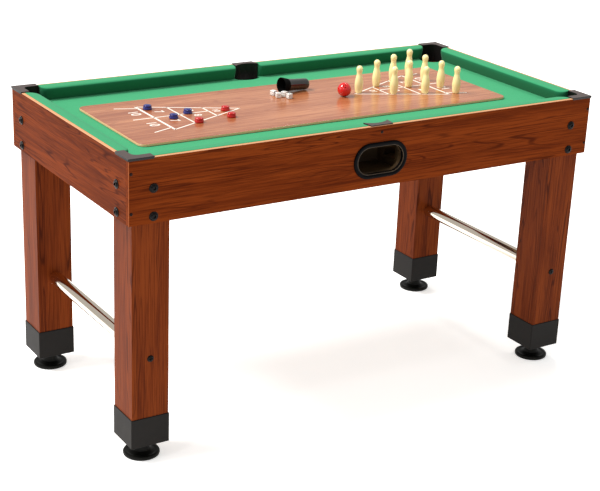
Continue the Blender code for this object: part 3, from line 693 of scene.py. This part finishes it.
def cross_head(name, radius, dome):
    """A screw head with a cross recess, facing +Z from the surface it sits on."""
    profile = [(0.0, -0.0015), (radius * 0.9, -0.0015), (radius, 0.0), (radius * 0.97, dome * 0.45)]
    profile += [(radius * 0.80, dome * 0.85), (radius * 0.45, dome), (0.0, dome)]
    blade = Matrix.Diagonal((radius * 1.15, radius * 0.22, dome * 1.3 + 0.001, 1.0))
    bm = bmesh.new()
    for quarter in (0, 1):
        at = Matrix.Rotation(quarter * math.pi / 2, 4, "Z") @ Matrix.Translation((0, 0, dome))
        bmesh.ops.create_cube(bm, size=1.0, matrix=at @ blade)
    return carved_mesh(name, turned_mesh(name, profile, 40), mesh_of(name + "_recess", bm), crossing=True)


SMALL_SCREW_R, SMALL_SCREW_DOME = 0.0034, 0.0008
LARGE_SCREW_R, LARGE_SCREW_DOME = 0.0075, 0.0024
APRON_SCREW_X = 0.6045
APRON_SCREW_Z = {"upper": 0.662, "lower": 0.578}
POCKET_SCREW_Z, STRETCHER_SCREW_Z = 0.677, 0.245


def build_screws():
    """The small screws of the aprons and pockets, and the stretcher screws low on the legs."""
    dark = plastic("screw_black", FASTENER_BLACK, 0.26, relief=0.00004, shine=0.1)
    small = cross_head("small_screw", SMALL_SCREW_R, SMALL_SCREW_DOME)
    large = cross_head("stretcher_screw", LARGE_SCREW_R, LARGE_SCREW_DOME)
    small.materials.append(dark)
    large.materials.append(dark)
    for side, sy in (("front", -1), ("back", 1)):
        face = sy * HALF_W
        spots = []
        for end, sx in (("left", -1), ("right", 1)):
            for level, z in APRON_SCREW_Z.items():
                name = f"apron_screw_{side}_{end}_{level}"
                spots.append((name, small, (sx * APRON_SCREW_X, face, z), "leg_bolts_front_left"))
            corner = f"{side}_{end}"
            low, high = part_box("leg_" + corner)
            at = (LEG_MID[corner].x, (low if sy < 0 else high).y, STRETCHER_SCREW_Z)
            spots.append(("stretcher_screw_" + corner, large, at, "leg_bolts_" + corner))
        at = (0.0, face, POCKET_SCREW_Z)
        spots.append(("pocket_screw_" + side, small, at, "leg_bolts_front_left"))
        for name, mesh, at, slot in spots:
            place(name, mesh, [], "table", (), facing((0, sy, 0), at))


# ---------------------------------------------------------------- playing board
BOARD_ROUND = 0.0013
PAINT_T, PAINT_SUNK = 0.00012, 0.0001
LINE, BASE_LINE = 0.0038, 0.0056
COURT = (  # start, end and width of each painted line of the left court
    ((-0.3865, -0.0770), (-0.3865, 0.1230), BASE_LINE),
    ((-0.3865, -0.0770), (-0.1715, 0.0180), LINE),
    ((-0.3865, 0.1230), (-0.1715, 0.0180), LINE),
    ((-0.3220, -0.0485), (-0.3220, 0.0915), LINE),
    ((-0.2490, -0.0162), (-0.2490, 0.0560), LINE),
    ((-0.4370, 0.0260), (-0.2490, 0.0260), LINE),
    ((-0.3880, 0.1085), (-0.4371, 0.1272), LINE),
    ((-0.3880, -0.0605), (-0.4367, -0.0795), LINE),
)
NUMERALS = (  # score, place and height
    ("10", -0.4130, 0.0740, 0.034),
    ("10", -0.4130, -0.0200, 0.034),
    ("7", -0.3550, 0.0660, 0.030),
    ("7", -0.3550, -0.0130, 0.030),
    ("8", -0.2870, 0.0480, 0.026),
    ("8", -0.2870, 0.0060, 0.026),
    ("10", -0.2310, 0.0230, 0.021),
)


def build_board():
    """The board with a court painted at each end; the right court mirrors the left one."""
    refined("playing_board", board_print("board_print"), BOARD_ROUND, 3)
    paint = plastic("white_paint", (0.88, 0.82, 0.74), 0.35, grain=400.0, relief=0.00003, mottle=0.06)
    for name, sign in (("left", 1.0), ("right", -1.0)):
        bm = bmesh.new()
        for start, end, width in COURT:
            paint_line(bm, start, end, width, sign)
        mesh = mesh_of("court_lines_" + name, bm)
        place("court_lines_" + name, mesh, [paint], "board", ())
        for number, (text, x, y, size) in enumerate(NUMERALS):
            paint_numeral(f"numeral_{name}_{number + 1}", text, x, y, size, sign, paint)


def paint_line(bm, start, end, width, sign):
    """A painted line, mirrored about the board's middle for the far court."""
    a, b = (Vector((x - BOARD_X, y, 0.0)) for x, y in (start, end))
    ahead = (b - a).normalized() * width
    side = ahead.cross(Vector((0, 0, 1))) / 2
    past = ahead * 0.3
    quad = (a - past - side, b + past - side, b + past + side, a - past + side)
    low, high = ([bm.verts.new((p.x * sign + BOARD_X, p.y, z)) for p in quad]
                 for z in (BOARD_TOP - PAINT_SUNK, BOARD_TOP + PAINT_T))
    bm.faces.new(low[::-1])
    bm.faces.new(high)
    for i in range(4):
        j = (i + 1) % 4
        bm.faces.new((low[i], low[j], high[j], high[i]))


def paint_numeral(name, text, x, y, size, sign, paint):
    """A scoring number that reads from its own end of the board."""
    curve = bpy.data.curves.new(name, "FONT")
    curve.body = text
    curve.size = size
    curve.align_x = curve.align_y = "CENTER"
    curve.extrude = (PAINT_T + PAINT_SUNK) / 2
    curve.offset = 0.0004
    shown = linked(name, curve)
    graph = bpy.context.evaluated_depsgraph_get()
    mesh = bpy.data.meshes.new_from_object(shown.evaluated_get(graph))
    bpy.data.objects.remove(shown)
    at = Vector(((x - BOARD_X) * sign + BOARD_X, y, BOARD_TOP + (PAINT_T - PAINT_SUNK) / 2))
    matrix = Matrix.Translation(at) @ Matrix.Rotation(math.radians(-90.0 * sign), 4, "Z")
    place(name, mesh, [paint], "board", (), matrix)


# ---------------------------------------------------------------- loose pieces
PUCK_R = 0.0105
PUCK = (  # distance in from the rim, height: a body, a waist and a domed cap
    (PUCK_R, 0.0), (0.0010, 0.0), (0.0002, 0.0004), (0.0, 0.0012), (0.0, 0.0042), (0.0004, 0.0049),
    (0.0014, 0.0052), (0.0016, 0.0060), (0.0012, 0.0066), (0.0010, 0.0086), (0.0014, 0.0096),
    (0.0024, 0.0103), (0.0045, 0.0109), (0.0070, 0.0113), (PUCK_R, 0.0114),
)
PUCK_COLOURS = {"blue": (0.016, 0.020, 0.17), "red": (0.50, 0.008, 0.007)}


def build_pucks():
    profile = [(PUCK_R - inward, z) for inward, z in PUCK]
    shells = {key: plastic("puck_" + key, colour, 0.13, relief=0.00003, mottle=0.08, coat=0.2, shine=0.5)
              for key, colour in PUCK_COLOURS.items()}
    for number in (1, 2, 3):
        for key, shell in shells.items():
            node = f"puck_{key}_{number}"
            finished(node, turned_mesh(node, profile, 56), [shell], Matrix.Translation(foot_of(node)))


BALL_R = 0.017
FINGER_HOLES = ((48, 222), (38, 250), (60, 243))  # degrees down from the top, degrees round
FINGER_R, FINGER_DEPTH, FINGER_SUNK = 0.0017, 0.007, 0.0015


def build_ball():
    bm = bmesh.new()
    bmesh.ops.create_uvsphere(bm, u_segments=64, v_segments=40, radius=BALL_R)
    ball = mesh_of("bowling_ball", bm)
    bm = bmesh.new()
    for down, round_top in FINGER_HOLES:
        a, b = math.radians(down), math.radians(round_top)
        out = Vector((math.sin(a) * math.cos(b), math.sin(a) * math.sin(b), math.cos(a)))
        bmesh.ops.create_cone(bm, cap_ends=True, segments=28, radius1=FINGER_R, radius2=FINGER_R,
                              depth=FINGER_DEPTH, matrix=facing(out, out * (BALL_R - FINGER_SUNK)))
    mesh = carved_mesh("bowling_ball_shape", ball, mesh_of("finger_holes", bm))
    red = plastic("ball_red", (0.66, 0.010, 0.008), 0.10, relief=0.00002, mottle=0.08, coat=0.6, shine=0.4)
    finished("bowling_ball", mesh, [red], Matrix.Translation(middle_of("bowling_ball")))


PIN_COUNT = 10
PIN_FOOT = [(0.0, 0.0), (0.0072, 0.0), (0.0079, 0.0006)]
PIN_SIDE = (
    (0.0080, 0.0000), (0.0093, 0.0080), (0.0103, 0.0180), (0.0102, 0.0250), (0.0086, 0.0360),
    (0.0066, 0.0450), (0.0065, 0.0500), (0.0077, 0.0570), (0.0072, 0.0620), (0.0047, 0.0655),
)
PIN_CROWN = [(0.0030, 0.0665), (0.0015, 0.0669), (0.0, 0.0670)]


def build_pins():
    profile = PIN_FOOT + smoothed(PIN_SIDE, 4)[1:] + PIN_CROWN
    cream = ivory("pin_plastic", (1.0, 0.88, 0.43), 0.32)
    for number in range(1, PIN_COUNT + 1):
        node = f"pin_{number}"
        finished(node, turned_mesh(node, profile, 40), [cream], Matrix.Translation(foot_of(node)))


CUP_SIDE = (  # radius, distance from the mouth
    (0.0190, 0.0), (0.0180, 0.0060), (0.0157, 0.0160), (0.0142, 0.0280), (0.0137, 0.0420),
    (0.0135, 0.0700), (0.0127, 0.0755),
)
CUP_MOUTH_R, CUP_LENGTH, CUP_WALL, CUP_FLOOR = 0.0190, 0.0773, 0.0015, 0.0035
CUP_BASE_R = 0.0135  # where the lying cup rests near its base
CUP_CLEAR = 0.0001
CUP_SHADE_BAND = 0.019  # length of the matt band behind the mouth, painted darker as shade


def build_cup():
    """The dice cup on its side, its mouth to the left, matt and painted darker as shade inside and round the
    mouth.
    """
    flowing = smoothed(CUP_SIDE, 5)
    inside = [(r - CUP_WALL, z) for r, z in flowing if z < CUP_LENGTH - 0.004][::-1]
    deepest = CUP_LENGTH - CUP_FLOOR
    profile = [(0.0, deepest), (0.0105, deepest)] + inside[:-1]
    lip = [(CUP_MOUTH_R - CUP_WALL, 0.0004), (CUP_MOUTH_R - CUP_WALL / 2, -0.0001), (CUP_MOUTH_R, 0.0004)]
    base_edge = [(0.0118, CUP_LENGTH - 0.0004), (0.0108, CUP_LENGTH), (0.0, CUP_LENGTH)]
    profile += lip + flowing[1:] + base_edge
    mesh = turned_mesh("dice_cup", profile, 72)
    # Painted shade: the inside and the band round the mouth take the darker matt plastic.
    for face in mesh.polygons:
        outside = face.normal.x * face.center.x + face.normal.y * face.center.y > 0
        face.material_index = 0 if outside and face.center.z > CUP_SHADE_BAND else 1
    black = plastic("cup_plastic", (0.008, 0.006, 0.005), 0.17, grain=500.0, relief=0.00003, mottle=0.15,
                    coat=0.6, shine=0.6)
    mouth_shade = plastic("cup_mouth_shade", (0.003, 0.003, 0.003), 0.75, grain=500.0, relief=0.0001, mottle=0.15,
                   shine=0.05)
    mouth = Vector((-0.0120, 0.0967, PLAY_Z + CUP_MOUTH_R + CUP_CLEAR))
    base = Vector((0.0650, 0.1040, PLAY_Z + CUP_BASE_R + CUP_CLEAR))
    finished("dice_cup", mesh, [black, mouth_shade], facing(base - mouth, mouth))


PIPS = {
    1: ((0, 0),),
    2: ((-1, -1), (1, 1)),
    3: ((-1, -1), (0, 0), (1, 1)),
    4: ((-1, -1), (-1, 1), (1, -1), (1, 1)),
    5: ((-1, -1), (-1, 1), (1, -1), (1, 1), (0, 0)),
    6: ((-1, -1), (-1, 0), (-1, 1), (1, -1), (1, 0), (1, 1)),
}
SIDES = {1: (0, 0, 1), 6: (0, 0, -1), 2: (0, 1, 0), 5: (0, -1, 0), 3: (1, 0, 0), 4: (-1, 0, 0)}
PIP = ((0.0, 0.00004), (0.0010, 0.00004), (0.00125, -0.0002))
PIP_SPACING = 0.26  # share of the die's size
DIE, DIE_ROUND = 0.012, 0.0014
DICE = {  # degrees about Z, and the quarter turns about X and Y that bring its upper side up
    "die_1": (18, 0, 0),
    "die_2": (-14, 90, 0),
    "die_3": (30, 0, 90),
    "die_4": (8, -90, 0),
}


def build_dice():
    bone = ivory("die_white", (0.86, 0.84, 0.80), 0.22, 0.4)
    ink = plastic("die_ink", (0.012, 0.012, 0.014), 0.35)
    for node, (spin, about_x, about_y) in DICE.items():
        bm = bmesh.new()
        bmesh.ops.create_cube(bm, size=DIE)
        bmesh.ops.bevel(bm, geom=bm.edges[:] + bm.verts[:], offset=DIE_ROUND, segments=4, profile=0.6,
                        affect="EDGES")
        for count, normal in SIDES.items():
            for a, b in PIPS[count]:
                spot = Vector((a * PIP_SPACING, b * PIP_SPACING, 0.5)) * DIE
                turn(bm, PIP, 16, facing(normal, (0, 0, 0)) @ Matrix.Translation(spot), 1)
        matrix = Matrix.Translation(middle_of(node))
        for degrees, axis in ((spin, "Z"), (about_y, "Y"), (about_x, "X")):
            matrix = matrix @ Matrix.Rotation(math.radians(degrees), 4, axis)
        finished(node, shaded(mesh_of(node, bm)), [bone, ink], matrix)


add_camera()
add_lights()
add_studio()
build_box()
build_pockets()
build_legs()
build_feet()
build_tubes()
build_bolts()
build_screws()
build_board()
build_pucks()
build_ball()
build_pins()
build_cup()
build_dice()

bpy.context.view_layer.update()
